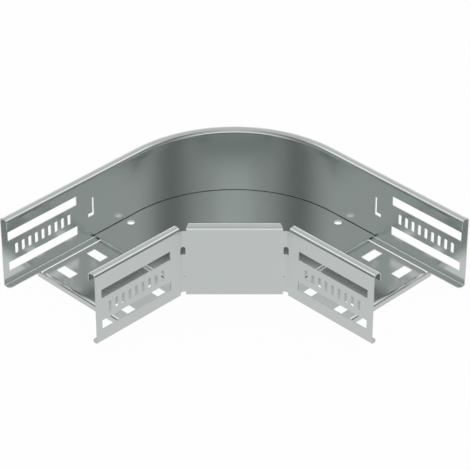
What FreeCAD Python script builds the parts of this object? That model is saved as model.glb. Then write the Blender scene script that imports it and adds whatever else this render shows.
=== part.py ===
"""Flat 90 degree bend of a perforated cable tray, 60 mm high and 100 mm wide.

Three folded steel sheets: a curved outer wall, an inner wall in three facets and a floor plate that
lies in the hollows of their bottom bends and steps down to a tongue at each end.

Working frame: the centre of the bend is the origin, the first arm runs to -X and the second to -Y, and the
bottom of the walls is z = 0. Along an arm, "reach" is the distance from the bend centre towards the arm's
end and "offset" is the distance from the bend centre across the tray. The whole bend is symmetric about
the plane x = y. The finished pieces are moved so that the origin is the middle of the base.
"""
import FreeCAD, Part
import math
import os

# Sheet and overall sizes
sheet = 0.75                    # thickness of every sheet
side_height = 60.0              # bottom to top of the walls
clear_width = 100.0             # between the inner faces of the two walls
outer_radius = 105.8            # outer face of the curved wall
arm_length = 133.3              # bend centre to the end of each arm
inner_corner_reach = 48.8       # bend centre to the upright folds of the inner wall

# Folds along the top and bottom edges of the walls
top_fold_width = 7.4            # outer face of the wall to outer face of the top lip
top_lip_height = 7.9            # top of the wall to the lip's free edge
top_bend_radius = 3.0           # outer radius of both top bends
bottom_fold_width = 6.1         # outer face of the wall to the free edge of the bottom fold
bottom_bend_radius = 3.0        # outer radius of the bottom bend
bottom_corner_radius = 3.0      # rounding of the bottom fold at the arm's end
corner_bend_radius = 1.5        # hollow side of the upright folds of the inner wall

# Slots punched in the four end plates, measured from the arm's end and from the wall's bottom
long_slot_end_gap = 5.4         # end of the plate to the slot
long_slot_fold_gap = 11.9       # slot to the upright fold of the inner wall
long_slot_height = 7.8
upper_slot_level = 40.9         # middle of the upper long slot
lower_slot_level = 14.5         # middle of the lower long slot
short_slot_count = 9
short_slot_inset = 8.0          # end of the long slots to the middle of the first and the last
short_slot_width = 3.0
short_slot_height = 8.9
short_slot_crown = 0.5          # rise of the curved ends
short_slot_level = 27.6         # middle of the row

# Locking notch of the outer wall
notch_reach = 43.8              # side of the upright leg that is nearest to the bend
notch_leg_width = 1.7
notch_top = 36.5
notch_bottom = 20.6
notch_foot_length = 6.0
notch_foot_height = 3.0

# Cut-outs at the upright folds of the inner wall
fold_web_top = 56.2             # where the wall ends between the top folds
fold_web_bottom = 3.2           # where the wall ends between the bottom folds
end_fold_reach = 51.0           # start of the end plates' top and bottom folds
middle_fold_half_width = 34.8   # half length of the middle facet's top fold at the wall
middle_fold_rear_half_width = 32.2
middle_base_half_width = 35.4   # half length of the middle facet's bottom fold
fold_slot_width = 4.0
fold_slot_height = 7.0
fold_slot_bottom = 35.9
fold_slot_round = 1.6
fold_dot_diameter = 1.3
fold_dot_level = 16.8
fold_dot_inset = 1.6            # fold to the middle of the dot, along the middle facet

# Floor plate
wall_clearance = 0.6            # floor edge to the wall face
step_reach = 44.2               # upper line of the step, where the corners of the raised floor end
step_run = 0.4                  # length of the step's slope
step_bend_radius = 0.3          # hollow side of both bends of the step
tongue_level = 0.0              # top of the tongue
tongue_clearance = 0.9          # tongue side to the bottom fold of the wall

# Openings of the floor plate
tongue_slot_length = 15.1       # across the tray
tongue_slot_width = 8.4         # along the arm
tongue_slot_spread = 62.6       # between the two slots of a row
first_row_reach = 58.7
tongue_row_pitch = 30.1
screw_hole_diameter = 6.2
screw_hole_reach = 13.1
screw_hole_wall_gap = 6.9       # wall face to the middle of the hole
screw_relief_radius = 4.2       # cut-out of the wall's bottom fold round the collar
screw_collar_depth = 1.1        # drawn collar below the floor sheet
screw_collar_wall = 0.55        # the drawn metal is thinner than the sheet

# Rolled lip at the front of each tongue
lip_reach = 102.7               # front face of the lip
lip_drop = 6.6                  # tongue top to the bottom of the lip
lip_top_radius = 2.6
lip_bottom_radius = 1.6
lip_return = 3.6                # length of the fold below, back under the tongue
lip_ear_side_gap = 2.8          # outer wall's outer face to the end of the lip
lip_ear_drop = 1.0              # top of the ear, below the wall
lip_inner_side_gap = 8.1        # inner wall's outer face to the end of the lip

# Places that follow from the sizes
width = clear_width + 2 * sheet
inner_offset = outer_radius - width
outer_face_inside = outer_radius - sheet
tray_middle = (outer_radius + inner_offset) / 2
long_slot_start = inner_corner_reach + long_slot_fold_gap
long_slot_length = arm_length - long_slot_end_gap - long_slot_start
short_slot_pitch = (long_slot_length - 2 * short_slot_inset) / (short_slot_count - 1)
bend_hollow = bottom_bend_radius - sheet
floor_bottom = bottom_bend_radius - math.sqrt(bend_hollow ** 2 - (bend_hollow - wall_clearance) ** 2)
floor_top = floor_bottom + sheet
floor_radius = outer_face_inside - wall_clearance
step_turn = math.atan2(floor_top - tongue_level, step_run)
step_setback = (step_bend_radius + sheet) * math.tan(step_turn / 2)
tongue_outer_side = outer_radius - bottom_fold_width - tongue_clearance
tongue_inner_side = inner_offset + bottom_fold_width + tongue_clearance
screw_hole_offset = outer_face_inside - screw_hole_wall_gap
middle_facet_half = (inner_corner_reach + inner_offset) / math.sqrt(2)
through = 6 * sheet             # reach of the punches on each side of a sheet
base_level = min(0.0, tongue_level - lip_drop)

up = FreeCAD.Vector(0, 0, 1)


def point(x, y, z=0.0):
    """A point in millimetres."""
    return FreeCAD.Vector(x, y, z)


def direction(start, end):
    """Unit direction from one flat pair to another."""
    length = math.hypot(end[0] - start[0], end[1] - start[1])
    return (end[0] - start[0]) / length, (end[1] - start[1]) / length


def shifted_line(corners, distance):
    """The corners of a line that runs beside another, on its left when the distance is positive."""
    heads = [direction(a, b) for a, b in zip(corners, corners[1:])]
    shifted = []
    for index, corner in enumerate(corners):
        before = heads[max(index - 1, 0)]
        after = heads[min(index, len(heads) - 1)]
        half = 1 + before[0] * after[0] + before[1] * after[1]
        across = (-(before[1] + after[1]) / half, (before[0] + after[0]) / half)
        shifted.append((corner[0] + distance * across[0], corner[1] + distance * across[1]))
    return shifted


def turn_at(corners, index):
    """Signed angle by which a line turns at one of its corners, left turns positive."""
    before = direction(corners[index - 1], corners[index])
    after = direction(corners[index], corners[index + 1])
    cross = before[0] * after[1] - before[1] * after[0]
    return math.atan2(cross, before[0] * after[0] + before[1] * after[1])


def rounded_edges(corners, radii, to_space):
    """Edges of a line whose inner corners are rounded, mapped into space."""
    edges = []
    start = corners[0]
    for index, radius in enumerate(radii, start=1):
        corner = corners[index]
        turn = turn_at(corners, index)
        before = direction(corners[index - 1], corner)
        after = direction(corner, corners[index + 1])
        setback = radius * math.tan(abs(turn) / 2)
        entry = (corner[0] - setback * before[0], corner[1] - setback * before[1])
        leave = (corner[0] + setback * after[0], corner[1] + setback * after[1])
        inward = (after[0] - before[0], after[1] - before[1])
        scale = radius * (1 / math.cos(turn / 2) - 1) / math.hypot(*inward)
        crown = (corner[0] + scale * inward[0], corner[1] + scale * inward[1])
        edges.append(Part.LineSegment(to_space(*start), to_space(*entry)).toShape())
        edges.append(Part.Arc(to_space(*entry), to_space(*crown), to_space(*leave)).toShape())
        start = leave
    edges.append(Part.LineSegment(to_space(*start), to_space(*corners[-1])).toShape())
    return edges


def folded_sheet(corners, radii, to_space):
    """Cross-section of one folded sheet that lies on the left of the line through the corners."""
    other_corners = shifted_line(corners, sheet)
    other_radii = []
    for index, radius in enumerate(radii, start=1):
        towards_left = turn_at(corners, index) > 0
        other_radii.append(radius - sheet if towards_left else radius + sheet)
    near = rounded_edges(corners, radii, to_space)
    far = rounded_edges(other_corners, other_radii, to_space)
    caps = [
        Part.LineSegment(to_space(*corners[0]), to_space(*other_corners[0])).toShape(),
        Part.LineSegment(to_space(*corners[-1]), to_space(*other_corners[-1])).toShape(),
    ]
    return Part.Face(Part.Wire(Part.__sortEdges__(near + far + caps)))


def wall_section(to_space):
    """Cross-section of a wall with both folds, by depth from its outer face and height."""
    corners = [
        (top_fold_width, side_height - top_lip_height),
        (top_fold_width, side_height),
        (0.0, side_height),
        (0.0, 0.0),
        (bottom_fold_width, 0.0),
    ]
    radii = [top_bend_radius, top_bend_radius, bottom_bend_radius]
    return folded_sheet(corners, radii, to_space)


def across_bend(shape):
    """The same shape on the other arm, mirrored in the plane x = y."""
    return shape.mirror(point(0, 0), point(1, -1))


def on_both_arms(shapes):
    """The shapes of the first arm together with their mirror images on the second arm."""
    return list(shapes) + [across_bend(shape) for shape in shapes]


def block(low, high):
    """A box between two corners."""
    size = high - low
    return Part.makeBox(size.x, size.y, size.z, low)


def window(reach, length, level, height, offset):
    """Rectangular punch through a wall of the first arm."""
    low = point(-reach - length, offset - through, level - height / 2)
    high = point(-reach, offset + through, level + height / 2)
    return block(low, high)


def short_slot(reach, offset):
    """Upright punch with crowned ends through a wall of the first arm."""
    half = short_slot_width / 2
    crest = short_slot_height / 2
    shoulder = crest - short_slot_crown

    def place(across, level):
        return point(across - reach, offset - through, short_slot_level + level)

    edges = [
        Part.LineSegment(place(-half, -shoulder), place(-half, shoulder)).toShape(),
        Part.Arc(place(-half, shoulder), place(0, crest), place(half, shoulder)).toShape(),
        Part.LineSegment(place(half, shoulder), place(half, -shoulder)).toShape(),
        Part.Arc(place(half, -shoulder), place(0, -crest), place(-half, -shoulder)).toShape(),
    ]
    return Part.Face(Part.Wire(edges)).extrude(point(0, 2 * through))


def end_plate_punches(offset):
    """All slots of one end plate of the first arm."""
    punches = [
        window(long_slot_start, long_slot_length, upper_slot_level, long_slot_height, offset),
        window(long_slot_start, long_slot_length, lower_slot_level, long_slot_height, offset),
    ]
    for index in range(short_slot_count):
        reach = long_slot_start + short_slot_inset + index * short_slot_pitch
        punches.append(short_slot(reach, offset))
    return punches


def fold_corner(free_edge, side):
    """Waste outside the rounded corner of a bottom fold at the first arm's end.

    The fold lies on the side of its free edge given by +1 or -1.
    """
    middle = free_edge + side * bottom_corner_radius
    start = point(bottom_corner_radius - arm_length, middle, -sheet)
    edges = sorted((free_edge - side * sheet, middle))
    square = block(
        point(-arm_length - sheet, edges[0], -sheet),
        point(bottom_corner_radius - arm_length, edges[1], 2 * sheet),
    )
    return square.cut(Part.makeCylinder(bottom_corner_radius, 3 * sheet, start))


def locking_notch():
    """L-shaped punch in the outer wall: an upright leg with a foot towards the arm's end."""
    leg = window(
        notch_reach, notch_leg_width, (notch_top + notch_bottom) / 2, notch_top - notch_bottom, outer_radius
    )
    foot = window(
        notch_reach, notch_foot_length, notch_bottom + notch_foot_height / 2, notch_foot_height, outer_radius
    )
    return leg.fuse(foot)


def screw_relief():
    """Cut-out of the outer wall's bottom fold round the collar of the floor's screw hole."""
    start = point(-screw_hole_reach, screw_hole_offset, -sheet)
    return Part.makeCylinder(screw_relief_radius, 3 * sheet, start)


def make_outer_wall():
    """Curved wall: straight arm, quarter circle and straight arm in one folded strip."""
    section = wall_section(lambda depth, level: point(0, outer_radius - depth, level))
    straight = section.extrude(point(-arm_length, 0))
    curve = section.revolve(point(0, 0), up, -90)
    wall = curve.fuse(on_both_arms([straight]))
    punches = end_plate_punches(outer_radius)
    punches.append(locking_notch())
    punches.append(screw_relief())
    punches.append(fold_corner(outer_radius - bottom_fold_width, 1))
    return wall.cut(on_both_arms(punches)).removeSplitter()


def middle_facet():
    """Middle facet of the inner wall with its folds, in place."""
    section = wall_section(lambda depth, level: point(-middle_base_half_width, depth, level))
    facet = section.extrude(point(2 * middle_base_half_width, 0))
    past = 2 * middle_facet_half
    for side in (-1, 1):
        outline = [
            point(side * middle_fold_half_width, 0, fold_web_top),
            point(side * middle_fold_rear_half_width, top_fold_width, fold_web_top),
            point(side * past, top_fold_width, fold_web_top),
            point(side * past, 0, fold_web_top),
        ]
        mitre = Part.Face(Part.makePolygon(outline + outline[:1])).extrude(up * side_height)
        facet = facet.cut(mitre)
    return in_middle_facet(facet)


def in_middle_facet(shape):
    """A shape moved from the origin to the middle facet, whose outer face it meets at y = 0."""
    turned = shape.copy()
    turned.rotate(point(0, 0), up, -45)
    middle = (inner_offset - inner_corner_reach) / 2
    turned.translate(point(middle, middle))
    return turned


def fold_slot():
    """Slot on an upright fold of the inner wall, flat below and rounded above."""
    half = fold_slot_width / 2
    top = fold_slot_bottom + fold_slot_height
    corners = [(-half, fold_slot_bottom), (-half, top), (half, top), (half, fold_slot_bottom)]
    edges = rounded_edges(corners, [fold_slot_round] * 2, lambda x, z: point(x, -through, z))
    edges.append(Part.LineSegment(point(half, -through, fold_slot_bottom),
                                  point(-half, -through, fold_slot_bottom)).toShape())
    punch = Part.Face(Part.Wire(Part.__sortEdges__(edges))).extrude(point(0, 2 * through))
    punch.rotate(point(0, 0), up, -22.5)
    punch.translate(point(-inner_corner_reach, inner_offset))
    return punch


def fold_dot():
    """Small locating hole beside an upright fold, in the middle facet."""
    start = point(fold_dot_inset - middle_facet_half, -through, fold_dot_level)
    return in_middle_facet(Part.makeCylinder(fold_dot_diameter / 2, 2 * through, start, point(0, 1)))


def make_inner_wall():
    """Inner wall: end plate, middle facet and end plate, joined by two upright folds."""
    line = [
        (-arm_length, inner_offset),
        (-inner_corner_reach, inner_offset),
        (inner_offset, -inner_corner_reach),
        (inner_offset, -arm_length),
    ]
    web_face = folded_sheet(line, [corner_bend_radius] * 2, lambda x, y: point(x, y, fold_web_bottom))
    web = web_face.extrude(up * (fold_web_top - fold_web_bottom))
    section = wall_section(lambda depth, level: point(-arm_length, inner_offset + depth, level))
    end_plate = section.extrude(point(arm_length - end_fold_reach, 0))
    wall = web.fuse([middle_facet()] + on_both_arms([end_plate]))
    punches = end_plate_punches(inner_offset)
    punches.append(fold_slot())
    punches.append(fold_dot())
    punches.append(fold_corner(inner_offset + bottom_fold_width, -1))
    return wall.cut(on_both_arms(punches)).removeSplitter()


def raised_floor():
    """Flat part of the floor, from the inner wall's middle facet to the curved wall."""
    facet_line = inner_offset - inner_corner_reach + (sheet + wall_clearance) * math.sqrt(2)
    middle = floor_radius / math.sqrt(2)
    first_end = point(-step_reach, floor_radius, floor_bottom)
    first_tangent = point(0, floor_radius, floor_bottom)
    crown = point(middle, middle, floor_bottom)
    second_tangent = point(floor_radius, 0, floor_bottom)
    second_end = point(floor_radius, -step_reach, floor_bottom)
    second_corner = point(facet_line + step_reach, -step_reach, floor_bottom)
    first_corner = point(-step_reach, facet_line + step_reach, floor_bottom)
    edges = [
        Part.LineSegment(first_end, first_tangent).toShape(),
        Part.Arc(first_tangent, crown, second_tangent).toShape(),
        Part.LineSegment(second_tangent, second_end).toShape(),
        Part.LineSegment(second_end, second_corner).toShape(),
        Part.LineSegment(second_corner, first_corner).toShape(),
        Part.LineSegment(first_corner, first_end).toShape(),
    ]
    plate = Part.Face(Part.Wire(edges)).extrude(up * sheet)
    bend_room = block(
        point(-step_reach - sheet, tongue_inner_side, floor_bottom - sheet),
        point(step_setback - step_reach, tongue_outer_side, floor_top + sheet),
    )
    return plate.cut(on_both_arms([bend_room]))


def tongue():
    """Step and flat tongue of the first arm, between the bottom folds of the walls."""
    lip_start = lip_reach - lip_top_radius
    line = [
        (-lip_start, tongue_level),
        (-step_reach - step_run, tongue_level),
        (-step_reach, floor_top),
        (2 * step_setback - step_reach, floor_top),
    ]
    drop = shifted_line(line, -sheet)
    face = folded_sheet(drop, [step_bend_radius + sheet, step_bend_radius],
                        lambda x, z: point(x, tongue_inner_side, z))
    return face.extrude(point(0, tongue_outer_side - tongue_inner_side))


def rolled_lip():
    """Front lip of the first arm's tongue, whose outer end reaches below the outer wall."""
    inner_end = inner_offset + lip_inner_side_gap
    outer_end = outer_radius - lip_ear_side_gap
    bottom = tongue_level - lip_drop
    line = [
        (-lip_reach + lip_top_radius + sheet, tongue_level),
        (-lip_reach, tongue_level),
        (-lip_reach, bottom),
        (-lip_reach + lip_return, bottom),
    ]
    face = folded_sheet(line, [lip_top_radius, lip_bottom_radius], lambda x, z: point(x, inner_end, z))
    lip = face.extrude(point(0, outer_end - inner_end))
    above_ear = block(
        point(-lip_reach - sheet, tongue_outer_side, -lip_ear_drop),
        point(-step_reach, outer_end + sheet, side_height),
    )
    return lip.cut(above_ear)


def tongue_slots():
    """Punches for the four slots of the first arm's tongue."""
    punches = []
    for reach in (first_row_reach, first_row_reach + tongue_row_pitch):
        for side in (-1, 1):
            middle = tray_middle + side * tongue_slot_spread / 2
            half = point(tongue_slot_width / 2, tongue_slot_length / 2, through)
            centre = point(-reach, middle, tongue_level)
            punches.append(block(centre - half, centre + half))
    return punches


def screw_collar():
    """Short drawn collar below the floor, round the screw hole of the first arm."""
    radius = screw_hole_diameter / 2 + screw_collar_wall
    start = point(-screw_hole_reach, screw_hole_offset, floor_bottom - screw_collar_depth)
    return Part.makeCylinder(radius, screw_collar_depth + sheet / 2, start)


def screw_hole():
    """Screw hole of the first arm, through the floor and its collar."""
    start = point(-screw_hole_reach, screw_hole_offset, floor_bottom - through)
    return Part.makeCylinder(screw_hole_diameter / 2, 2 * through, start)


def make_floor_plate():
    """Floor sheet with a stepped tongue and a rolled lip at each end."""
    additions = [tongue(), rolled_lip(), screw_collar()]
    plate = raised_floor().fuse(on_both_arms(additions))
    punches = tongue_slots() + [screw_hole()]
    return plate.cut(on_both_arms(punches)).removeSplitter()


def in_part_frame(shape):
    """The shape moved so that the origin is the middle of the base."""
    moved = shape.copy()
    middle = (arm_length - outer_radius) / 2
    moved.translate(point(middle, middle, -base_level))
    return moved


def main():
    """Builds the three sheets and writes one file for each."""
    os.makedirs("parts", exist_ok=True)
    pieces = {
        "outer_wall": make_outer_wall(),
        "inner_wall": make_inner_wall(),
        "floor_plate": make_floor_plate(),
    }
    for name, shape in pieces.items():
        placed = in_part_frame(shape)
        placed.exportStep("parts/" + name + ".step")
        box = placed.BoundBox
        print(name, "solids", len(placed.Solids), "valid", placed.isValid(),
              "volume", round(placed.Volume, 1), "box", [round(value, 2) for value in (
                  box.XMin, box.YMin, box.ZMin, box.XMax, box.YMax, box.ZMax)])


main()
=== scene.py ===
"""Looks of a flat 90 degree cable tray bend: three folded sheets of galvanised steel in a white studio.

Each sheet is a skin worked out on a grid of rows (down its cross-section) and columns (along the tray), with
the punched openings left out, and then given the thickness of the steel. Lengths are in millimetres inside
the classes and become metres when a mesh is made. Places are measured from the centre of the bend and from
the underside of the walls, as on the drawing of such a part: "reach" runs along an arm, "offset" across it.
Places closer than TOUCH count as one.
"""
import logging
import math
from dataclasses import dataclass
from enum import Enum
from typing import Any, Iterable, Mapping, Sequence

import bmesh
import bpy
import numpy as np
from mathutils import Matrix, Vector


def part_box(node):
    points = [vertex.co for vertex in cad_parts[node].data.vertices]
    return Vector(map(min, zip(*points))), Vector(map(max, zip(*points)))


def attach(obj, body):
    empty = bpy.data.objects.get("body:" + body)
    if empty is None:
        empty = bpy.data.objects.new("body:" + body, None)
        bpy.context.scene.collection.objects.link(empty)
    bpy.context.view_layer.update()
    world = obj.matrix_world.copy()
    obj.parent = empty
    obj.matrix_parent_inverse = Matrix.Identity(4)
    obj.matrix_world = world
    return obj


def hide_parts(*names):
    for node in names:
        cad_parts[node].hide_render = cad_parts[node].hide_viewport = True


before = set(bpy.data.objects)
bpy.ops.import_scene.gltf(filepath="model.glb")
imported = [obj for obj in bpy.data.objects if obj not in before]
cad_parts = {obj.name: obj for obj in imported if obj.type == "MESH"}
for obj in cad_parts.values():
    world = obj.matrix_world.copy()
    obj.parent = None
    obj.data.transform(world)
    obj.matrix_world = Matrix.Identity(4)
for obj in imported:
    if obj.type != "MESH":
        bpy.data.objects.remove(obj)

LOG = logging.getLogger("cable_tray_bend")
MM = 0.001
DIAGONAL = math.sqrt(0.5)
TOUCH = 0.01
WHITE = (1.0, 1.0, 1.0, 1.0)


# Numbers in a row

def union(*rows: Iterable[float], gap: float = 0.02) -> np.ndarray:
    """Sorted positions of several rows as one, where neighbours closer than the gap become one.

    Args:
        rows: Positions in millimetres.
        gap: Smallest distance that is kept between neighbours.

    Returns:
        The positions, rising.
    """
    values = np.sort(np.concatenate([np.atleast_1d(np.asarray(row, float)) for row in rows]))
    return values[np.r_[True, np.diff(values) > gap]]


def middles(values: np.ndarray) -> np.ndarray:
    """Half-way positions between neighbours."""
    return (values[1:] + values[:-1]) / 2


def rounded_line(corners: Sequence[tuple[float, float]], radii: Sequence[float],
                 steps: int = 8, rest: float = 0.25) -> np.ndarray:
    """Points of a folded line whose inner corners are arcs.

    Each arc is its centre plus the radius times a unit vector that turns evenly from the normal of the
    run before to the normal of the run after. A point stands close to each end of an arc on the flat
    runs, so that the shading of the flat stays flat.

    Args:
        corners: Corners of the unrounded line.
        radii: Radius at each inner corner.
        steps: Number of chords in a quarter turn.
        rest: Distance of the extra point on the flat run from the arc.

    Returns:
        An array of shape (points, 2).
    """
    line = [np.asarray(corners[0], float)]
    for before, corner, after, radius in zip(corners, corners[1:], corners[2:], radii):
        before, corner, after = (np.asarray(value, float) for value in (before, corner, after))
        arrive = (corner - before) / np.linalg.norm(corner - before)
        leave = (after - corner) / np.linalg.norm(after - corner)
        turn = math.atan2(arrive[0] * leave[1] - arrive[1] * leave[0], float(arrive @ leave))
        setback = radius * math.tan(abs(turn) / 2)
        side = math.copysign(1.0, turn)
        normal = side * np.array([-arrive[1], arrive[0]])
        centre = corner - setback * arrive + radius * normal
        count = max(2, round(steps * abs(turn) / (math.pi / 2)))
        angle = side * np.linspace(0.0, abs(turn), count + 1)
        swing = np.stack([np.cos(angle) * -normal[0] - np.sin(angle) * -normal[1],
                          np.sin(angle) * -normal[0] + np.cos(angle) * -normal[1]], axis=1)
        if np.linalg.norm(corner - before) > setback + 2 * rest:
            line.append(corner - (setback + rest) * arrive)
        line.extend(centre + radius * swing)
        if np.linalg.norm(after - corner) > setback + 2 * rest:
            line.append(corner + (setback + rest) * leave)
    line.append(np.asarray(corners[-1], float))
    points = np.array(line)
    apart = np.r_[True, np.linalg.norm(np.diff(points, axis=0), axis=1) > 1e-4]
    return points[apart]


def length_along(points: np.ndarray) -> np.ndarray:
    """Distance travelled along a line of points, from its first."""
    return np.r_[0.0, np.cumsum(np.linalg.norm(np.diff(points, axis=0), axis=1))]


# Skins and the sheets made from them

@dataclass
class Skin:
    """One face of a folded sheet: a grid of points, the cells that are metal and two pattern coordinates."""

    points: np.ndarray
    keep: np.ndarray
    pattern: np.ndarray
    flipped: bool = False

    def cut_round(self, centre: Sequence[float], radius: float) -> None:
        """Opens a round hole: cells whose middle is inside go, and their border moves onto the circle.

        Args:
            centre: Middle of the hole in space.
            radius: Radius of the hole.
        """
        away = self.points - np.asarray(centre, float)
        reach = np.linalg.norm(away, axis=-1)
        cell = (away[:-1, :-1] + away[1:, :-1] + away[:-1, 1:] + away[1:, 1:]) / 4
        inside = np.linalg.norm(cell, axis=-1) < radius
        self.keep &= ~inside
        touched = np.zeros(reach.shape, bool)
        for rows, columns in ((slice(0, -1), slice(0, -1)), (slice(1, None), slice(0, -1)),
                              (slice(0, -1), slice(1, None)), (slice(1, None), slice(1, None))):
            touched[rows, columns] |= inside
        scale = np.where(touched, radius / np.maximum(reach, 1e-6), 1.0)
        self.points = np.asarray(centre, float) + away * scale[..., None]

    def quads(self) -> np.ndarray:
        """Corner numbers of every kept cell, outward side first."""
        rows, columns = self.points.shape[:2]
        index = np.arange(rows * columns).reshape(rows, columns)
        corners = [index[:-1, :-1], index[:-1, 1:], index[1:, 1:], index[1:, :-1]]
        if self.flipped:
            corners.reverse()
        return np.stack(corners, axis=-1)[self.keep]

    def across_bend(self) -> "Skin":
        """The same skin on the other arm, with x and y exchanged."""
        return Skin(self.points[..., [1, 0, 2]], self.keep, self.pattern, not self.flipped)


@dataclass(frozen=True)
class Finishes:
    """The two finishes of one sheet."""

    face: bpy.types.Material
    edge: bpy.types.Material


@dataclass(frozen=True)
class Sheet:
    """A folded sheet of steel that stands for one node of the frame."""

    node: str
    thickness: float
    weld: float = 0.01
    crease: float = math.radians(38.0)

    def make(self, skins: Sequence[Skin], origin: np.ndarray, finishes: Finishes) -> bpy.types.Object:
        """Joins skins into one mesh, gives it the sheet's thickness and puts it in the node's place.

        Args:
            skins: Skins that share an edge or stand by themselves.
            origin: Centre of the bend in the row's frame, in millimetres.
            finishes: Finishes of the faces and of the cut edges.

        Returns:
            The finished piece.
        """
        starts = np.cumsum([0] + [skin.points[..., 0].size for skin in skins])
        points = np.concatenate([skin.points.reshape(-1, 3) for skin in skins]) + origin
        pattern = np.concatenate([skin.pattern.reshape(-1, 2) for skin in skins])
        quads = np.concatenate([skin.quads() + start for skin, start in zip(skins, starts)])
        used, quads = np.unique(quads, return_inverse=True)
        quads = quads.reshape(-1, 4)
        mesh = bpy.data.meshes.new(self.node + "_skin")
        mesh.from_pydata((points[used] * MM).tolist(), [], quads.tolist())
        layer = mesh.uv_layers.new(name="rolling")
        layer.data.foreach_set("uv", (pattern[used][quads.ravel()] * MM).ravel())
        self._join_edges(mesh)
        piece = bpy.data.objects.new(self.node + "_sheet", mesh)
        bpy.context.scene.collection.objects.link(piece)
        mesh.materials.append(finishes.face)
        mesh.materials.append(finishes.edge)
        self._thicken(piece)
        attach(piece, "root")
        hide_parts(self.node)
        LOG.info("%s: %d faces", piece.name, len(piece.data.polygons))
        return piece

    def _join_edges(self, mesh: bpy.types.Mesh) -> None:
        """Welds the borders that neighbouring skins share."""
        work = bmesh.new()
        work.from_mesh(mesh)
        bmesh.ops.remove_doubles(work, verts=work.verts, dist=self.weld * MM)
        work.to_mesh(mesh)
        work.free()

    def _thicken(self, piece: bpy.types.Object) -> None:
        """Adds the steel behind the skin and creases the cut edges."""
        solid = piece.modifiers.new("steel", "SOLIDIFY")
        solid.thickness = self.thickness * MM
        solid.offset = -1.0
        solid.use_rim = True
        solid.material_offset_rim = 1
        graph = bpy.context.evaluated_depsgraph_get()
        mesh = bpy.data.meshes.new_from_object(piece.evaluated_get(graph), depsgraph=graph)
        mesh.name = self.node + "_sheet"
        piece.modifiers.clear()
        piece.data = mesh
        mesh.shade_smooth()
        mesh.set_sharp_from_angle(angle=self.crease)


# Sizes of the tray

@dataclass(frozen=True)
class TrayPlan:
    """Driving sizes of the whole bend."""

    sheet: float = 0.75
    side_height: float = 60.0
    clear_width: float = 100.0
    outer_radius: float = 105.8
    arm_length: float = 133.3
    inner_corner_reach: float = 48.8

    @property
    def inner_offset(self) -> float:
        """Outer face of the inner wall, measured from the bend centre."""
        return self.outer_radius - self.clear_width - 2 * self.sheet

    @property
    def origin(self) -> np.ndarray:
        """Centre of the bend at the walls' underside, in the row's frame."""
        low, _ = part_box("outer_wall")
        return np.array([low.x / MM + self.arm_length, low.y / MM + self.arm_length, low.z / MM])


@dataclass(frozen=True)
class EdgeFolds:
    """Folds along the top and bottom edges of a wall, as its cross-section."""

    top_width: float = 7.4
    top_lip: float = 7.9
    top_radius: float = 3.0
    bottom_width: float = 6.1
    bottom_radius: float = 1.5
    corner_radius: float = 3.0
    corner_start: float = 0.2
    corner_points: int = 8
    web_clear: float = 0.1
    web_row: float = 50.0

    def section(self, height: float, levels: np.ndarray) -> tuple[np.ndarray, np.ndarray]:
        """Depth behind the outer face and height of every row, from the top lip to the bottom fold.

        Args:
            height: Height of the wall.
            levels: Heights of the rows that the web needs between its folds.

        Returns:
            The depths and the heights.
        """
        above = rounded_line([(self.top_width, height - self.top_lip), (self.top_width, height),
                              (0.0, height), (0.0, height / 2)], [self.top_radius] * 2)[:-1]
        below = rounded_line([(0.0, height / 2), (0.0, 0.0), (self.bottom_width, 0.0)],
                             [self.bottom_radius])[1:-1]
        levels = union(levels, [self.web_row])
        web = levels[(levels < above[-1, 1] - self.web_clear) & (levels > below[0, 1] + self.web_clear)][::-1]
        turned = np.linspace(self.corner_start, math.pi / 2, self.corner_points)
        edge = self.bottom_width + self.corner_radius * (np.sin(turned) - 1.0)
        depth = np.r_[above[:, 0], np.zeros(len(web)), below[:, 0], edge]
        return depth, np.r_[above[:, 1], web, below[:, 1], np.zeros(len(edge))]

    def round_ends(self, flat: np.ndarray, depth: np.ndarray, level: np.ndarray) -> None:
        """Moves the strip's first and last column back where the bottom fold's end corners are rounded.

        Each row moves by the radius less the root of (radius squared minus the square of the way past the
        corner's start), and rows above the fold stay.

        Args:
            flat: Horizontal places of all rows and columns, which are changed.
            depth: Depth of every row.
            level: Height of every row.
        """
        past = np.clip(depth - self.bottom_width + self.corner_radius, 0.0, self.corner_radius)
        trim = self.corner_radius - np.sqrt(self.corner_radius ** 2 - past ** 2)
        trim = np.where(level < self.bottom_radius, trim, 0.0)
        flat[:, 0, 0] += trim
        flat[:, -1, 1] += trim


@dataclass(frozen=True)
class Window:
    """A rectangular opening by its reach and height."""

    near: float
    far: float
    low: float
    high: float

    def holds(self, reach: np.ndarray, level: np.ndarray) -> np.ndarray:
        """True where a place is inside the window."""
        return (reach > self.near) & (reach < self.far) & (level > self.low) & (level < self.high)


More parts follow.
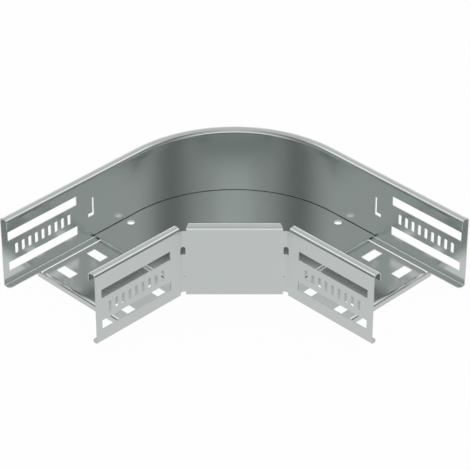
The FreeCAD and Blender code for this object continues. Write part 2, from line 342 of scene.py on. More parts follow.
@dataclass(frozen=True)
class EndPlateSlots:
    """Openings of one end plate: two long slots with a row of short ones between them."""

    end_gap: float = 5.4
    long_length: float = 67.2
    long_height: float = 7.8
    upper_level: float = 40.9
    lower_level: float = 14.5
    count: int = 9
    inset: float = 8.0
    width: float = 3.0
    height: float = 8.9
    crown: float = 0.5
    crown_reach: float = 2.0
    level: float = 27.6
    chords: int = 6

    def windows(self, plan: TrayPlan) -> list[Window]:
        """The two long slots."""
        far = plan.arm_length - self.end_gap
        half = self.long_height / 2
        return [Window(far - self.long_length, far, level - half, level + half)
                for level in (self.upper_level, self.lower_level)]

    def middles_of_short(self, plan: TrayPlan) -> np.ndarray:
        """Reach of the middle of each short slot, evenly spaced along the long slots."""
        far = plan.arm_length - self.end_gap - self.inset
        return np.linspace(far, far - self.long_length + 2 * self.inset, self.count)

    def columns(self, plan: TrayPlan) -> np.ndarray:
        """Reaches that the grid needs for these openings."""
        across = np.linspace(-self.width / 2, self.width / 2, self.chords + 1)
        short = (self.middles_of_short(plan)[:, None] + across).ravel()
        return union(short, *[(window.near, window.far) for window in self.windows(plan)])

    def rows(self, plan: TrayPlan) -> np.ndarray:
        """Heights that the grid needs for these openings."""
        return union(*[(window.low, window.high) for window in self.windows(plan)],
                     [self.level - self.height / 2, self.level + self.height / 2])

    def holes(self, plan: TrayPlan, reach: np.ndarray, level: np.ndarray) -> np.ndarray:
        """True where a place is in one of the openings."""
        inside = np.zeros(np.broadcast(reach, level).shape, bool)
        for window in self.windows(plan):
            inside |= window.holds(reach, level)
        near = np.abs(reach[..., None] - self.middles_of_short(plan)).min(axis=-1)
        return inside | ((near < self.width / 2) & (np.abs(level - self.level) < self.height / 2))

    def crowned(self, plan: TrayPlan, reach: np.ndarray, level: np.ndarray) -> np.ndarray:
        """Heights with the rows at the short slots' ends bent to their crowned ends.

        A crowned end is an arc through both shoulders and the crest, so at a distance a from the middle
        it lies the radius minus the root of (radius squared minus a squared) below the crest. Rows a
        little way inside a slot follow by a share that falls to nothing, so that no two rows cross.
        """
        half = self.width / 2
        radius = (half ** 2 + self.crown ** 2) / (2 * self.crown)
        away = np.abs(reach[..., None] - self.middles_of_short(plan)).min(axis=-1)
        fall = np.where(away < half + TOUCH,
                        radius - np.sqrt(np.maximum(radius ** 2 - away ** 2, 0.0)), 0.0)
        lift = level - self.level
        inside = self.height / 2 - np.abs(lift)
        share = np.where(inside > -TOUCH, np.clip(1.0 - inside / self.crown_reach, 0.0, 1.0), 0.0)
        return level - np.sign(lift) * fall * share


@dataclass(frozen=True)
class ScrewHole:
    """Drawn screw hole of the floor beside the outer wall, one on each arm."""

    diameter: float = 6.2
    reach: float = 13.1
    wall_gap: float = 6.9
    collar_depth: float = 1.1
    collar_chords: int = 32
    relief_radius: float = 4.2
    grid_half: float = 5.5
    grid_points: int = 13

    def offset(self, plan: TrayPlan) -> float:
        """Offset of the hole's middle."""
        return plan.outer_radius - plan.sheet - self.wall_gap

    def places(self, plan: TrayPlan) -> list[tuple[float, float]]:
        """Middles of the two holes."""
        return [(-self.reach, self.offset(plan)), (self.offset(plan), -self.reach)]

    def around(self, middle: float) -> np.ndarray:
        """Grid positions across the hole and its surroundings."""
        return middle + np.linspace(-self.grid_half, self.grid_half, self.grid_points)


@dataclass(frozen=True)
class LockingNotch:
    """L-shaped opening: an upright leg with a foot towards the arm's end."""

    reach: float = 43.8
    leg_width: float = 1.7
    top: float = 36.5
    bottom: float = 20.6
    foot_length: float = 6.0
    foot_height: float = 3.0

    def windows(self) -> list[Window]:
        """The leg and the foot."""
        foot_top = self.bottom + self.foot_height
        return [Window(self.reach, self.reach + self.leg_width, self.bottom, self.top),
                Window(self.reach, self.reach + self.foot_length, self.bottom, foot_top)]


# The three sheets

@dataclass(frozen=True)
class OuterWall:
    """Curved wall: straight arm, quarter circle and straight arm in one folded strip.

    Its rim stands a little higher than the inner wall's.
    """

    plan: TrayPlan
    folds: EdgeFolds = EdgeFolds()
    slots: EndPlateSlots = EndPlateSlots()
    notch: LockingNotch = LockingNotch()
    hole: ScrewHole = ScrewHole()
    rim_rise: float = 0.8
    arc_chords: int = 72
    extra_reaches: tuple[float, ...] = (2.0, 34.0)

    def stations(self) -> np.ndarray:
        """Columns along the strip, from minus to plus half its length, with the bend's middle at zero."""
        half_arc = self.plan.outer_radius * math.pi / 4
        edges = [(window.near, window.far) for window in self.notch.windows()]
        reach = union([0.0, *self.extra_reaches, self.plan.arm_length], *edges,
                      self.slots.columns(self.plan), self.hole.around(self.hole.reach))
        arc = np.linspace(-half_arc, half_arc, self.arc_chords + 1)
        return union(-half_arc - reach, arc, half_arc + reach)

    def path(self, station: np.ndarray) -> tuple[np.ndarray, np.ndarray, np.ndarray]:
        """Place, inward direction and reach of each station.

        On the arc the place is the radius times the unit vector at 45 degrees less the station over the
        radius; beyond it the place moves straight on by the reach.
        """
        half_arc = self.plan.outer_radius * math.pi / 4
        reach = np.maximum(np.abs(station) - half_arc, 0.0)
        angle = math.pi / 4 - np.clip(station, -half_arc, half_arc) / self.plan.outer_radius
        out = np.stack([np.cos(angle), np.sin(angle)], axis=1)
        straight = np.stack([np.where(station < 0, -reach, 0.0), np.where(station > 0, -reach, 0.0)], axis=1)
        return self.plan.outer_radius * out + straight, -out, reach

    def skin(self) -> Skin:
        """The strip's outer face with its openings and the screw holes' room in the bottom fold."""
        plan = self.plan
        station = self.stations()
        place, inward, reach = self.path(station)
        edges = [(window.low, window.high) for window in self.notch.windows()]
        levels = union(self.slots.rows(plan), *edges)
        depth, level = self.folds.section(plan.side_height + self.rim_rise, levels)
        reach_grid, level_grid = np.broadcast_arrays(reach[None, :], level[:, None])
        bent = self.slots.crowned(plan, reach_grid, level_grid)
        flat = place[None] + depth[:, None, None] * inward[None]
        self.folds.round_ends(flat, depth, level)
        points = np.concatenate([flat, bent[..., None]], axis=-1)
        reach_mid, level_mid = np.broadcast_arrays(middles(reach)[None, :], middles(level)[:, None])
        holes = self.slots.holes(plan, reach_mid, level_mid)
        for window in self.notch.windows():
            holes |= window.holds(reach_mid, level_mid)
        web_cell = (middles(depth) == 0.0)[:, None]
        down = length_along(np.stack([depth, level], axis=1))
        pattern = np.stack(np.broadcast_arrays(station[None, :], down[:, None]), axis=-1)
        skin = Skin(points, ~(holes & web_cell), pattern)
        for middle in self.hole.places(plan):
            skin.cut_round([*middle, 0.0], self.hole.relief_radius)
        return skin


@dataclass(frozen=True)
class InnerWall:
    """Inner wall in three facets: end plate, middle facet and end plate, with two upright folds."""

    plan: TrayPlan
    folds: EdgeFolds = EdgeFolds()
    slots: EndPlateSlots = EndPlateSlots()
    fold_radius: float = 1.5
    fold_chords: int = 6
    web_top: float = 56.2
    web_bottom: float = 3.2
    end_fold_reach: float = 51.0
    middle_top_half: float = 34.8
    middle_top_rear_half: float = 32.2
    middle_base_half: float = 35.4
    slot_half: float = 2.165
    slot_low: float = 35.9
    slot_high: float = 42.9
    slot_round: float = 1.6
    slot_points: int = 13
    dot_diameter: float = 1.3
    dot_level: float = 16.8
    dot_inset: float = 1.6
    dot_points: int = 5
    fold_rest: float = 0.2
    facet_rest: float = 24.0
    facet_points: int = 5
    station_gap: float = 0.04
    pattern_start: float = 400.0

    @property
    def half_facet(self) -> float:
        """Half length of the middle facet's outer face."""
        return (self.plan.inner_corner_reach + self.plan.inner_offset) * DIAGONAL

    def stations(self) -> np.ndarray:
        """Columns along the strip, from minus to plus half its length, with the middle at zero."""
        half = self.half_facet
        setback = self.fold_radius * math.tan(math.pi / 8)
        shift = half - self.plan.inner_corner_reach
        fold = np.linspace(half - setback, half + setback, self.fold_chords + 1)
        slot = half + np.linspace(-self.slot_half, self.slot_half, self.slot_points)
        dot = self.across_dot(half - self.dot_inset)
        reach = union([self.end_fold_reach, self.end_fold_reach + 1.0, self.plan.arm_length],
                      self.slots.columns(self.plan))
        rests = [half - setback - self.fold_rest, half + setback + self.fold_rest]
        right = union(fold, slot, dot, reach + shift, rests,
                      [self.middle_top_half, self.middle_base_half], gap=self.station_gap)
        facet = np.linspace(-self.facet_rest, self.facet_rest, self.facet_points)
        return np.r_[-right[::-1], facet, right]

    def across_dot(self, middle: float) -> np.ndarray:
        """Grid positions across a dot hole."""
        return middle + np.linspace(-self.dot_diameter / 2, self.dot_diameter / 2, self.dot_points)

    def path(self, station: np.ndarray) -> tuple[np.ndarray, np.ndarray]:
        """Place and direction into the tray of each station.

        The facet is straight, the end plates leave it at 45 degrees, and between them the place is the
        fold's centre plus its radius times the unit vector at the angle turned so far.
        """
        half = self.half_facet
        side = np.sign(station)
        beyond = np.abs(station) - half
        setback = self.fold_radius * math.tan(math.pi / 8)
        turned = np.clip((beyond + setback) / (2 * setback), 0.0, 1.0) * math.pi / 4
        straight = np.minimum(np.abs(station), half - setback)
        along = side * (straight + self.fold_radius * np.sin(turned))
        inward = self.fold_radius * (np.cos(turned) - 1.0)
        extra = np.maximum(beyond - setback, 0.0)
        along = along + side * extra * DIAGONAL
        inward = inward - extra * DIAGONAL
        heading, normal = np.array([DIAGONAL, -DIAGONAL]), np.array([DIAGONAL, DIAGONAL])
        middle = np.full(2, (self.plan.inner_offset - self.plan.inner_corner_reach) / 2)
        place = middle + along[:, None] * heading + inward[:, None] * normal
        face = (side * np.sin(turned))[:, None] * heading + np.cos(turned)[:, None] * normal
        return place, face

    def slot_line(self, away: np.ndarray, level: np.ndarray) -> np.ndarray:
        """Heights with the fold slot's upper row bent round its two upper corners."""
        flat = self.slot_half - self.slot_round
        past = np.clip(away - flat, 0.0, self.slot_round)
        fall = self.slot_round - np.sqrt(self.slot_round ** 2 - past ** 2)
        at_top = (np.abs(level - self.slot_high) < TOUCH) & (away < self.slot_half + TOUCH)
        return np.where(at_top, level - fall, level)

    def skin(self) -> Skin:
        """The face away from the tray, with openings and the cut-outs at the upright folds."""
        plan = self.plan
        station = self.stations()
        place, face = self.path(station)
        reach = np.abs(station) - self.half_facet + plan.inner_corner_reach
        levels = union(self.slots.rows(plan), self.across_dot(self.dot_level),
                       [self.web_top, self.web_bottom, self.slot_low, self.slot_high])
        depth, level = self.folds.section(plan.side_height, levels)
        station_grid, level_grid = np.broadcast_arrays(station[None, :], level[:, None])
        reach_grid = np.broadcast_to(reach[None, :], level_grid.shape)
        bent = self.slots.crowned(plan, reach_grid, level_grid)
        bent = self.slot_line(np.abs(np.abs(station_grid) - self.half_facet), bent)
        mitre = (self.middle_top_half - self.middle_top_rear_half) / self.folds.top_width
        from_mitre = np.abs(np.abs(station_grid) - self.middle_top_half)
        at_mitre = (from_mitre < self.station_gap + TOUCH) & (level_grid > self.web_top)
        shift = np.where(at_mitre, -np.sign(station_grid) * mitre * depth[:, None], 0.0)
        heading = np.array([DIAGONAL, -DIAGONAL])
        flat = place[None] + depth[:, None, None] * face[None] + shift[..., None] * heading
        self.folds.round_ends(flat, depth, level)
        points = np.concatenate([flat, bent[..., None]], axis=-1)
        away_mid, level_mid = np.broadcast_arrays(np.abs(middles(station))[None, :],
                                                  middles(level)[:, None])
        reach_mid = away_mid - self.half_facet + plan.inner_corner_reach
        web_cell = (middles(depth) == 0.0)[:, None]
        at_fold = np.abs(away_mid - self.half_facet) < self.slot_half
        holes = web_cell & self.slots.holes(plan, reach_mid, level_mid)
        holes |= web_cell & at_fold & (level_mid > self.slot_low) & (level_mid < self.slot_high)
        before_end = reach_mid < self.end_fold_reach
        above = ~web_cell & (level_mid > plan.side_height / 2) | (level_mid > self.web_top)
        below = ~web_cell & (level_mid < plan.side_height / 2) | (level_mid < self.web_bottom)
        holes |= above & before_end & (away_mid > self.middle_top_half)
        holes |= below & before_end & (away_mid > self.middle_base_half)
        down = length_along(np.stack([depth, level], axis=1))
        pattern = np.stack(np.broadcast_arrays(station[None, :] + self.pattern_start, down[:, None]), axis=-1)
        skin = Skin(points, ~holes, pattern, flipped=True)
        for side in (-1.0, 1.0):
            middle, _ = self.path(np.array([side * (self.half_facet - self.dot_inset)]))
            skin.cut_round([*middle[0], self.dot_level], self.dot_diameter / 2)
        return skin


@dataclass(frozen=True)
class FloorPlate:
    """Floor sheet with a stepped tongue and a rolled lip at each end."""

    plan: TrayPlan
    folds: EdgeFolds = EdgeFolds()
    hole: ScrewHole = ScrewHole()
    wall_clearance: float = 0.6
    step_reach: float = 44.2
    step_run: float = 0.4
    step_radius: float = 0.3
    tongue_level: float = 0.0
    tongue_clearance: float = 0.9
    slot_length: float = 15.1
    slot_width: float = 8.4
    slot_spread: float = 62.6
    first_row: float = 58.7
    row_pitch: float = 30.1
    lip_reach: float = 102.7
    lip_drop: float = 6.6
    lip_top_radius: float = 2.6
    lip_bottom_radius: float = 1.6
    lip_return: float = 3.6
    ear_side_gap: float = 2.8
    ear_drop: float = 1.0
    lip_inner_gap: float = 8.1
    lip_chords: int = 9
    arc_chords: int = 48
    bend_rest: float = 0.3
    step_run_out: float = 9.0
    edge_gap: float = 0.2
    tongue_pattern_start: float = 800.0
    floor_pattern_start: float = 1600.0

    @property
    def top(self) -> float:
        """Upper face of the raised floor, above the walls' underside."""
        _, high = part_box("floor_plate")
        return high.z / MM - self.plan.origin[2]

    @property
    def flat_end(self) -> float:
        """Reach at which the raised floor begins to bend down to the tongue."""
        turn = math.atan2(self.top - self.tongue_level, self.step_run)
        return self.step_reach - (self.step_radius + self.plan.sheet) * math.tan(turn / 2)

    @property
    def inner_line(self) -> float:
        """Sum of x and y on the floor's edge beside the middle facet."""
        return (self.plan.inner_offset - self.plan.inner_corner_reach
                + (self.plan.sheet + self.wall_clearance) / DIAGONAL)

    @property
    def radius(self) -> float:
        """Curved edge of the floor beside the outer wall."""
        return self.plan.outer_radius - self.plan.sheet - self.wall_clearance

    @property
    def tongue_sides(self) -> tuple[float, float]:
        """Offsets of the tongue's two sides, between the bottom folds of the walls."""
        inset = self.folds.bottom_width + self.tongue_clearance
        return self.plan.inner_offset + inset, self.plan.outer_radius - inset

    @property
    def lip_sides(self) -> tuple[float, float]:
        """Offsets of the lip's two ends."""
        return self.plan.inner_offset + self.lip_inner_gap, self.plan.outer_radius - self.ear_side_gap

    def slot_edges(self) -> list[Window]:
        """The four slots of one tongue, by reach and offset."""
        middle = (self.plan.outer_radius + self.plan.inner_offset) / 2
        slots = []
        for reach in (self.first_row, self.first_row + self.row_pitch):
            for offset in (middle - self.slot_spread / 2, middle + self.slot_spread / 2):
                slots.append(Window(reach - self.slot_width / 2, reach + self.slot_width / 2,
                                    offset - self.slot_length / 2, offset + self.slot_length / 2))
        return slots

    def offsets(self) -> np.ndarray:
        """Columns across the tongue."""
        edges = [(slot.low, slot.high) for slot in self.slot_edges()]
        hole = self.hole.around(self.hole.offset(self.plan))
        return union(*edges, self.tongue_sides, self.lip_sides, hole, gap=self.edge_gap)

    def tongue_line(self) -> np.ndarray:
        """Reach and height of the tongue's upper face, from the raised floor to the end of the lip."""
        bottom = self.tongue_level - self.lip_drop
        step_end = self.step_reach + self.step_run
        step = rounded_line([(self.flat_end, self.top), (self.step_reach, self.top),
                             (step_end, self.tongue_level),
                             (step_end + self.step_run_out, self.tongue_level)],
                            [self.step_radius + self.plan.sheet, self.step_radius])[:-1]
        bend = self.lip_top_radius
        drop = math.acos((bend - self.ear_drop) / bend)
        angle = union(np.linspace(0.0, math.pi / 2, self.lip_chords + 1), [drop], gap=0.03)
        rolled = np.stack([self.lip_reach - bend + bend * np.sin(angle),
                           self.tongue_level - bend + bend * np.cos(angle)], axis=1)
        lower = rounded_line([(self.lip_reach, self.tongue_level - bend), (self.lip_reach, bottom),
                              (self.lip_reach - self.lip_return, bottom)], [self.lip_bottom_radius])[1:]
        edges = union(*[(slot.near, slot.far) for slot in self.slot_edges()],
                      [self.lip_reach - bend - self.bend_rest])
        flat = np.stack([edges, np.full(len(edges), self.tongue_level)], axis=1)
        return np.concatenate([step, flat, rolled, lower])

    def tongue_skin(self) -> Skin:
        """Upper face of the first arm's tongue, with its slots and the lip's ear."""
        line = self.tongue_line()
        reach, level = line[:, 0], line[:, 1]
        offset = self.offsets()
        travelled = length_along(line)
        points = np.stack(np.broadcast_arrays(-reach[:, None], offset[None, :], level[:, None]), axis=-1)
        reach_mid, offset_mid = np.broadcast_arrays(middles(reach)[:, None], middles(offset)[None, :])
        level_mid = np.broadcast_to(middles(level)[:, None], reach_mid.shape)
        outermost = np.argmax(reach)
        lip_start = float(np.interp(self.lip_reach - self.lip_top_radius, reach[:outermost],
                                    travelled[:outermost]))
        on_lip = np.broadcast_to(middles(travelled)[:, None], reach_mid.shape) > lip_start
        holes = np.zeros(reach_mid.shape, bool)
        for slot in self.slot_edges():
            holes |= slot.holds(reach_mid, offset_mid) & ~on_lip
        holes |= ~on_lip & (offset_mid > self.tongue_sides[1])
        holes |= on_lip & (offset_mid < self.lip_sides[0])
        holes |= on_lip & (offset_mid > self.tongue_sides[1]) & (level_mid > -self.ear_drop)
        along = travelled[:, None] + self.tongue_pattern_start
        pattern = np.stack(np.broadcast_arrays(along, offset[None, :]), axis=-1)
        return Skin(points, ~holes, pattern)

    def raised_skin(self) -> Skin:
        """Upper face of the raised floor, ruled from the inner wall's facet to the curved edge.

        A column runs straight from a point of the facet line to a point of the outer edge, both at the
        same share of their line's length.
        """
        half_arc = self.radius * math.pi / 4
        reach = union([0.0, self.flat_end - self.bend_rest, self.flat_end],
                      self.hole.around(self.hole.reach))
        arc = np.linspace(-half_arc, half_arc, self.arc_chords + 1)
        station = union(-half_arc - reach, arc, half_arc + reach)
        straight = np.maximum(np.abs(station) - half_arc, 0.0)
        angle = math.pi / 4 - np.clip(station, -half_arc, half_arc) / self.radius
        outer = self.radius * np.stack([np.cos(angle), np.sin(angle)], axis=1)
        outer += np.stack([np.where(station < 0, -straight, 0.0),
                           np.where(station > 0, -straight, 0.0)], axis=1)
        share = (station - station[0]) / (station[-1] - station[0])
        first = np.array([-self.flat_end, self.inner_line + self.flat_end])
        inner = first + share[:, None] * (first[::-1] - first)
        across = self.raised_offsets(first[1])
        weight = (across - across[0]) / (across[-1] - across[0])
        flat = inner[None] + weight[:, None, None] * (outer - inner)[None]
        points = np.concatenate([flat, np.full(flat.shape[:2] + (1,), self.top)], axis=-1)
        keep = np.ones((len(across) - 1, len(station) - 1), bool)
        skin = Skin(points, keep, self.flat_pattern(points))
        for place in self.hole.places(self.plan):
            skin.cut_round([*place, self.top], self.hole.diameter / 2)
        return skin

    def flat_pattern(self, points: np.ndarray) -> np.ndarray:
        """Pattern coordinates of faces that follow the floor's plane."""
        return points[..., :2] + self.floor_pattern_start

    def raised_offsets(self, low: float) -> np.ndarray:
        """Offsets across the end of the raised floor, from its inner corner to the outer wall."""
        offsets = self.offsets()
        between = (offsets > low + self.edge_gap) & (offsets < self.radius - self.edge_gap)
        return np.r_[low, offsets[between], self.radius]

    def corner_skin(self) -> Skin:
        """The two corners of the raised floor beside the first arm's step, which end square at the step."""
        reach = np.array([self.flat_end, self.step_reach])
        across = np.stack([self.raised_offsets(self.inner_line + self.flat_end)] * 2)
        across[:, 0] = self.inner_line + reach
        points = np.stack([np.broadcast_to(-reach[:, None], across.shape), across,
                           np.full(across.shape, self.top)], axis=-1)
        middle = middles(across[0])
        low, high = self.tongue_sides
        keep = ((middle < low) | (middle > high))[None, :]
        return Skin(points, keep, self.flat_pattern(points))

    def collar_skins(self) -> list[Skin]:
        """Drawn collars below the screw holes: a short profile turned about each hole's axis."""
        under = self.top - self.plan.sheet
        level = np.array([under, under - self.hole.collar_depth])[:, None]
        angle = np.linspace(0.0, 2 * math.pi, self.hole.collar_chords + 1)[None, :]
        skins = []
        for place in self.hole.places(self.plan):
            radius = self.hole.diameter / 2
            points = np.stack(np.broadcast_arrays(place[0] + radius * np.cos(angle),
                                                  place[1] + radius * np.sin(angle), level), axis=-1)
            keep = np.ones((1, self.hole.collar_chords), bool)
            skins.append(Skin(points, keep, self.flat_pattern(points)))
        return skins


# Shader maths

class Slot:
    """A number, colour or vector in a node tree, on which arithmetic makes the nodes."""

    def __init__(self, graph: "ShaderGraph", socket: bpy.types.NodeSocket) -> None:
        """Keeps the socket and the graph that it belongs to."""
        self.graph = graph
        self.socket = socket

    def _math(self, operation: str, *values: Any) -> "Slot":
        """One Math node on numbers."""
        return self.graph.node("ShaderNodeMath", {"operation": operation}, dict(enumerate(values)))[0]

    def __add__(self, other: Any) -> "Slot":
        """Sum."""
        return self._math("ADD", self, other)

    def __radd__(self, other: Any) -> "Slot":
        """Sum with the number in front."""
        return self._math("ADD", other, self)

    def __sub__(self, other: Any) -> "Slot":
        """Difference."""
        return self._math("SUBTRACT", self, other)

    def __rsub__(self, other: Any) -> "Slot":
        """Difference with the number in front."""
        return self._math("SUBTRACT", other, self)

    def __mul__(self, other: Any) -> "Slot":
        """Product."""
        return self._math("MULTIPLY", self, other)

    def __rmul__(self, other: Any) -> "Slot":
        """Product with the number in front."""
        return self._math("MULTIPLY", other, self)

    def __truediv__(self, other: Any) -> "Slot":
        """Quotient."""
        return self._math("DIVIDE", self, other)

    def __pow__(self, other: Any) -> "Slot":
        """Power."""
        return self._math("POWER", self, other)

    def limited(self) -> "Slot":
        """The number held between 0 and 1."""
        return self.graph.node("ShaderNodeClamp", {}, {"Value": self})[0]

    def eased(self) -> "Slot":
        """Smooth step from 0 to 1: three times the square less twice the cube of the limited number."""
        share = self.limited()
        return share * share * (3.0 - share * 2.0)

    def stretched(self, scale: tuple[float, float, float]) -> "Slot":
        """A vector scaled along each axis."""
        return self.graph.node("ShaderNodeVectorMath", {"operation": "MULTIPLY"}, {0: self, 1: scale})[0]


class ShaderGraph:
    """Builds the nodes of one material or world."""

    def __init__(self, tree: bpy.types.NodeTree) -> None:
        """Starts from an empty tree."""
        self.tree = tree
        tree.nodes.clear()

    def node(self, kind: str, settings: Mapping[str, Any], values: Mapping[Any, Any]) -> list[Slot]:
        """Adds any node.

        Args:
            kind: Type name of the node.
            settings: Properties that are set first.
            values: Value, or Slot to link, for each input by name or number.

        Returns:
            The node's outputs that are in use, in order.
        """
        made = self.tree.nodes.new(kind)
        for name, value in settings.items():
            setattr(made, name, value)
        for name, value in values.items():
            socket = made.inputs[name]
            if isinstance(value, Slot):
                self.tree.links.new(value.socket, socket)
            else:
                socket.default_value = value
        return [Slot(self, output) for output in made.outputs if output.enabled]

    def blend(self, share: Slot, first: Sequence[float], second: Sequence[float]) -> Slot:
        """Colour between two colours by a share from 0 to 1."""
        return self.node("ShaderNodeMix", {"data_type": "RGBA"},
                         {0: share, 6: (*first, 1.0), 7: (*second, 1.0)})[0]

    def bell(self, value: Slot) -> Slot:
        """Bell curve: e to the power of minus the number squared."""
        return self.node("ShaderNodeMath", {"operation": "EXPONENT"}, {0: value * value * -1.0})[0]

    def noise(self, vector: Slot, scale: float, detail: float, roughness: float = 0.5) -> Slot:
        """Fractal noise from 0 to 1."""
        return self.node("ShaderNodeTexNoise", {"noise_dimensions": "3D"},
                         {"Vector": vector, "Scale": scale, "Detail": detail, "Roughness": roughness})[0]

    def background(self, strength: Any) -> Slot:
        """White surroundings of a strength."""
        return self.node("ShaderNodeBackground", {}, {"Color": WHITE, "Strength": strength})[0]

    def either(self, share: Slot, first: Slot, second: Slot) -> Slot:
        """Shader between two shaders by a share from 0 to 1."""
        return self.node("ShaderNodeMixShader", {}, {0: share, 1: first, 2: second})[0]


@dataclass(frozen=True)
class Bell:
    """Bell curve by its middle and width."""

    middle: float
    width: float

    def of(self, graph: ShaderGraph, value: Slot) -> Slot:
        """The curve's height at a value."""
        return graph.bell((value - self.middle) * (1.0 / self.width))


@dataclass(frozen=True)
class Ramp:
    """Smooth step from 0 to 1 by its start and slope."""

    start: float
    slope: float

    def of(self, value: Slot) -> Slot:
        """The step's height at a value."""
        return ((value - self.start) * self.slope).eased()


# Finishes

@dataclass(frozen=True)
class GalvanisedFace:
    """Smooth zinc coating on rolled strip: satin, faintly cloudy, with a fine grain along the strip."""

    name: str = "galvanised_face"
    light: tuple[float, float, float] = (0.630, 0.667, 0.652)
    shade: tuple[float, float, float] = (0.592, 0.630, 0.615)
    roughness: float = 0.19
    cloud_roughness: float = 0.03
    grain_roughness: float = 0.02
    cloud_scale: float = 38.0
    spangle_scale: float = 420.0
    spangle_smoothness: float = 0.6
    grain_scale: tuple[float, float, float] = (60.0, 2600.0, 1.0)
    grain_depth: float = 0.0000006
    grain_bump: float = 0.2
    cloud_share: float = 0.7
    spangle_share: float = 0.15
    grain_share: float = 0.15

    def material(self) -> bpy.types.Material:
        """Builds the finish.

        Returns:
            The material, whose clouds follow Object coordinates and whose grain follows the strip.
        """
        material = bpy.data.materials.new(self.name)
        material.use_nodes = True
        graph = ShaderGraph(material.node_tree)
        place = graph.node("ShaderNodeTexCoord", {}, {})[3]
        strip = graph.node("ShaderNodeUVMap", {"uv_map": "rolling"}, {})[0]
        clouds = graph.noise(place, self.cloud_scale, detail=3.0)
        spangle = graph.node("ShaderNodeTexVoronoi", {"feature": "SMOOTH_F1"},
                             {"Vector": place, "Scale": self.spangle_scale,
                              "Smoothness": self.spangle_smoothness})[1]
        flake = graph.node("ShaderNodeSeparateColor", {}, {"Color": spangle})[0]
        grain = graph.noise(strip.stretched(self.grain_scale), 1.0, detail=4.0, roughness=0.6)
        share = (clouds * self.cloud_share + flake * self.spangle_share + grain * self.grain_share).limited()
        rough = self.roughness + (clouds - 0.5) * self.cloud_roughness + (grain - 0.5) * self.grain_roughness
        bump = graph.node("ShaderNodeBump", {}, {"Strength": self.grain_bump, "Distance": self.grain_depth,
                                                 "Height": grain})[0]
        shader = graph.node("ShaderNodeBsdfPrincipled", {}, {
            "Base Color": graph.blend(share, self.shade, self.light), "Metallic": 1.0,
            "Roughness": rough, "Normal": bump})[0]
        graph.node("ShaderNodeOutputMaterial", {}, {"Surface": shader})
        return material


@dataclass(frozen=True)
class CutEdge:
    """Sheared edge of the sheet: bare steel that zinc has crept over, duller than the face."""

    name: str = "sheared_edge"
    colour: tuple[float, float, float] = (0.56, 0.58, 0.575)
    worn: tuple[float, float, float] = (0.66, 0.68, 0.67)
    roughness: float = 0.36
    streak_roughness: float = 0.2
    streak_scale: float = 900.0

    def material(self) -> bpy.types.Material:
        """Builds the finish.

        Returns:
            The material, streaked across the sheet's thickness.
        """
        material = bpy.data.materials.new(self.name)
        material.use_nodes = True
        graph = ShaderGraph(material.node_tree)
        place = graph.node("ShaderNodeTexCoord", {}, {})[3]
        streak = graph.noise(place, self.streak_scale, detail=2.0)
        shader = graph.node("ShaderNodeBsdfPrincipled", {}, {
            "Base Color": graph.blend(streak, self.colour, self.worn), "Metallic": 1.0,
            "Roughness": self.roughness + (streak - 0.5) * self.streak_roughness})[0]
        graph.node("ShaderNodeOutputMaterial", {}, {"Surface": shader})
        return material


# Studio

class Softbox(Enum):
    """Soft lamps of the studio: place in metres from the object's middle, size in metres and radiance."""

    OVERHEAD = ((-0.10, -0.10, 1.30), 0.9, 0.12)
    FRONT = ((-1.00, -1.00, 1.20), 0.8, 0.12)


def looking(place: Vector, way: Vector) -> Matrix:
    """Placement of a camera or lamp at a place, pointed along a way."""
    return Matrix.Translation(place) @ way.to_track_quat("-Z", "Y").to_matrix().to_4x4()


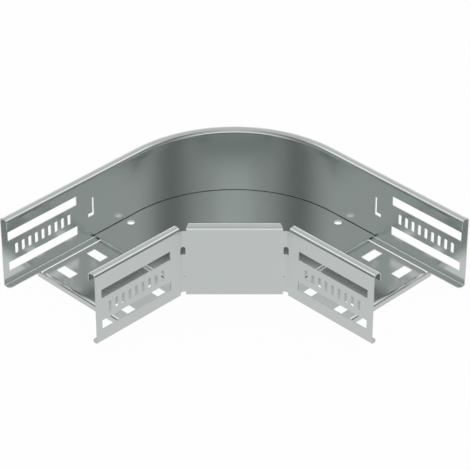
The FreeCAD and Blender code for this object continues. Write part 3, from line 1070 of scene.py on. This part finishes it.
@dataclass(frozen=True)
class Studio:
    """White studio, its lamps and the camera at the photograph's viewing angle.

    Bells and ramps over a facing take the cosine of the horizontal angle from the camera, those over a rise
    the sine of the height above the horizon.
    """

    plan: TrayPlan
    picture: float = 470.0
    focal_pixels: float = 2488.55
    film: float = 36.0
    distance: float = 1063.8
    height: float = 1065.8
    elevation: float = 0.601994
    picture_shift: tuple[float, float] = (0.5, -0.5)
    front: tuple[float, float, float] = (-DIAGONAL, -DIAGONAL, 0.0)
    room_light: float = 0.75
    wall_level: float = 0.655
    wall_ends: float = 0.04
    wall_slant: float = 0.02
    gap_facing: Bell = Bell(0.60, 0.30)
    gap_depth: float = 0.40
    ends_facing: Ramp = Ramp(0.4, 2.2)
    ends_rise: Ramp = Ramp(0.15, 2.4)
    ends_level: float = 0.75
    sides_facing: Bell = Bell(0.15, 0.45)
    sides_rise: Ramp = Ramp(0.2, 4.0)
    sides_depth: float = 0.85
    spot_facing: Bell = Bell(-0.26, 0.18)
    spot_rise: Bell = Bell(0.74, 0.1)
    spot_level: float = 1.5
    ground_glow: float = 0.97
    ground_radius: float = 3.0
    ground_corners: int = 64
    ground_paint: float = 0.9
    ground_far: Ramp = Ramp(0.22, 6.0)
    ground_dim: float = 0.19
    ground_sides: float = 0.6

    def camera(self) -> bpy.types.Object:
        """The camera on the tray's plane of symmetry, looking between the two arms."""
        data = bpy.data.cameras.new("camera")
        data.sensor_width = self.film
        data.lens = self.film * self.focal_pixels / self.picture
        data.shift_x, data.shift_y = (shift / self.picture for shift in self.picture_shift)
        data.clip_start, data.clip_end = 0.05, 20.0
        camera = bpy.data.objects.new("camera", data)
        bpy.context.scene.collection.objects.link(camera)
        place = self.plan.origin + np.array([-self.distance, -self.distance, self.height])
        level = math.cos(self.elevation) * DIAGONAL
        forward = Vector((level, level, -math.sin(self.elevation)))
        camera.matrix_world = looking(Vector(place * MM), forward)
        bpy.context.scene.camera = camera
        return camera

    def lamps(self) -> None:
        """Area lamps whose power gives the wanted radiance: power is radiance times pi times area."""
        for box in Softbox:
            place, size, radiance = box.value
            data = bpy.data.lights.new(box.name.lower(), "AREA")
            data.shape = "SQUARE"
            data.size = size
            data.energy = radiance * math.pi * size ** 2
            lamp = bpy.data.objects.new(box.name.lower(), data)
            bpy.context.scene.collection.objects.link(lamp)
            lamp.matrix_world = looking(Vector(place), -Vector(place))

    def world(self) -> None:
        """White surroundings: full white to the camera, a studio of grey and white walls to reflections.

        Reflections see a grey level that is a little brighter at both ends, in front of and behind the
        object, less a dark gap on either side of the camera. Low down it is bright at the ends and dark at
        the sides, and a soft bright spot stands high on either side.
        """
        world = bpy.data.worlds.new("studio")
        bpy.context.scene.world = world
        world.use_nodes = True
        graph = ShaderGraph(world.node_tree)
        to_camera, _, _, glossy, _, _, through = graph.node("ShaderNodeLightPath", {}, {})[:7]
        way = graph.node("ShaderNodeTexCoord", {}, {})[0]
        part = graph.node("ShaderNodeSeparateXYZ", {}, {0: way})
        rise = part[2]
        facing = self.facing(part, (1.0 - rise * rise) ** 0.5)
        around = (self.wall_level + facing * facing * self.wall_ends - facing * self.wall_slant
                  - self.gap_facing.of(graph, facing) * self.gap_depth)
        ends = self.ends_facing.of(facing * facing) * (1.0 - self.ends_rise.of(rise))
        sides = self.sides_facing.of(graph, facing) * (1.0 - self.sides_rise.of(rise))
        spot = self.spot_facing.of(graph, facing) * self.spot_rise.of(graph, rise)
        level = around * (1.0 - sides * self.sides_depth) + ends * self.ends_level + spot * self.spot_level
        reflected = graph.either(glossy, graph.background(self.room_light), graph.background(level))
        seen = (to_camera + through).limited()
        graph.node("ShaderNodeOutputWorld", {},
                   {"Surface": graph.either(seen, reflected, graph.background(1.0))})

    def facing(self, part: Sequence[Slot], length: Slot) -> Slot:
        """Cosine of the horizontal angle between a way and the camera's side of the object."""
        return (part[0] * self.front[0] + part[1] * self.front[1]) / length

    def ground(self) -> None:
        """White floor below the lips: a disc whose glow leaves a faint shadow of the object."""
        angle = np.linspace(0.0, 2 * math.pi, self.ground_corners + 1)[:-1]
        rim = self.ground_radius * np.stack([np.cos(angle), np.sin(angle), 0.0 * angle], axis=1)
        mesh = bpy.data.meshes.new("studio_floor")
        mesh.from_pydata(rim.tolist(), [], [list(range(self.ground_corners))])
        floor = bpy.data.objects.new("studio_floor", mesh)
        bpy.context.scene.collection.objects.link(floor)
        material = bpy.data.materials.new("studio_white")
        material.use_nodes = True
        graph = ShaderGraph(material.node_tree)
        to_camera, _, _, glossy, _, _, through = graph.node("ShaderNodeLightPath", {}, {})[:7]
        seen = (to_camera + glossy + through).limited()
        place = graph.node("ShaderNodeTexCoord", {}, {})[3]
        away = graph.node("ShaderNodeVectorMath", {"operation": "LENGTH"}, {0: place})[0]
        part = graph.node("ShaderNodeSeparateXYZ", {}, {0: place})
        sides = self.sides_facing.of(graph, self.facing(part, away))
        dim = self.ground_far.of(away) * sides * self.ground_sides + self.ground_dim
        paint = graph.node("ShaderNodeBsdfDiffuse", {}, {"Color": (*[self.ground_paint] * 3, 1.0)})[0]
        glow = graph.node("ShaderNodeEmission", {}, {"Color": WHITE, "Strength": 1.0 - dim * glossy})[0]
        mixed = graph.either(seen * self.ground_glow, paint, glow)
        graph.node("ShaderNodeOutputMaterial", {}, {"Surface": mixed})
        mesh.materials.append(material)


def main() -> None:
    """Builds the sheets and the studio."""
    logging.basicConfig(level=logging.INFO, format="%(name)s %(message)s")
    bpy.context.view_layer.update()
    plan = TrayPlan()
    studio = Studio(plan)
    studio.camera()
    finishes = Finishes(GalvanisedFace().material(), CutEdge().material())
    floor = FloorPlate(plan)
    skins = {
        "outer_wall": [OuterWall(plan).skin()],
        "inner_wall": [InnerWall(plan).skin()],
        "floor_plate": [floor.raised_skin(), *floor.collar_skins(), floor.tongue_skin(), floor.corner_skin(),
                        floor.tongue_skin().across_bend(), floor.corner_skin().across_bend()],
    }
    for node, node_skins in skins.items():
        Sheet(node, plan.sheet).make(node_skins, plan.origin, finishes)
    studio.lamps()
    studio.world()
    studio.ground()
    bpy.context.scene.view_settings.view_transform = "Standard"


if __name__ == "__main__":
    main()
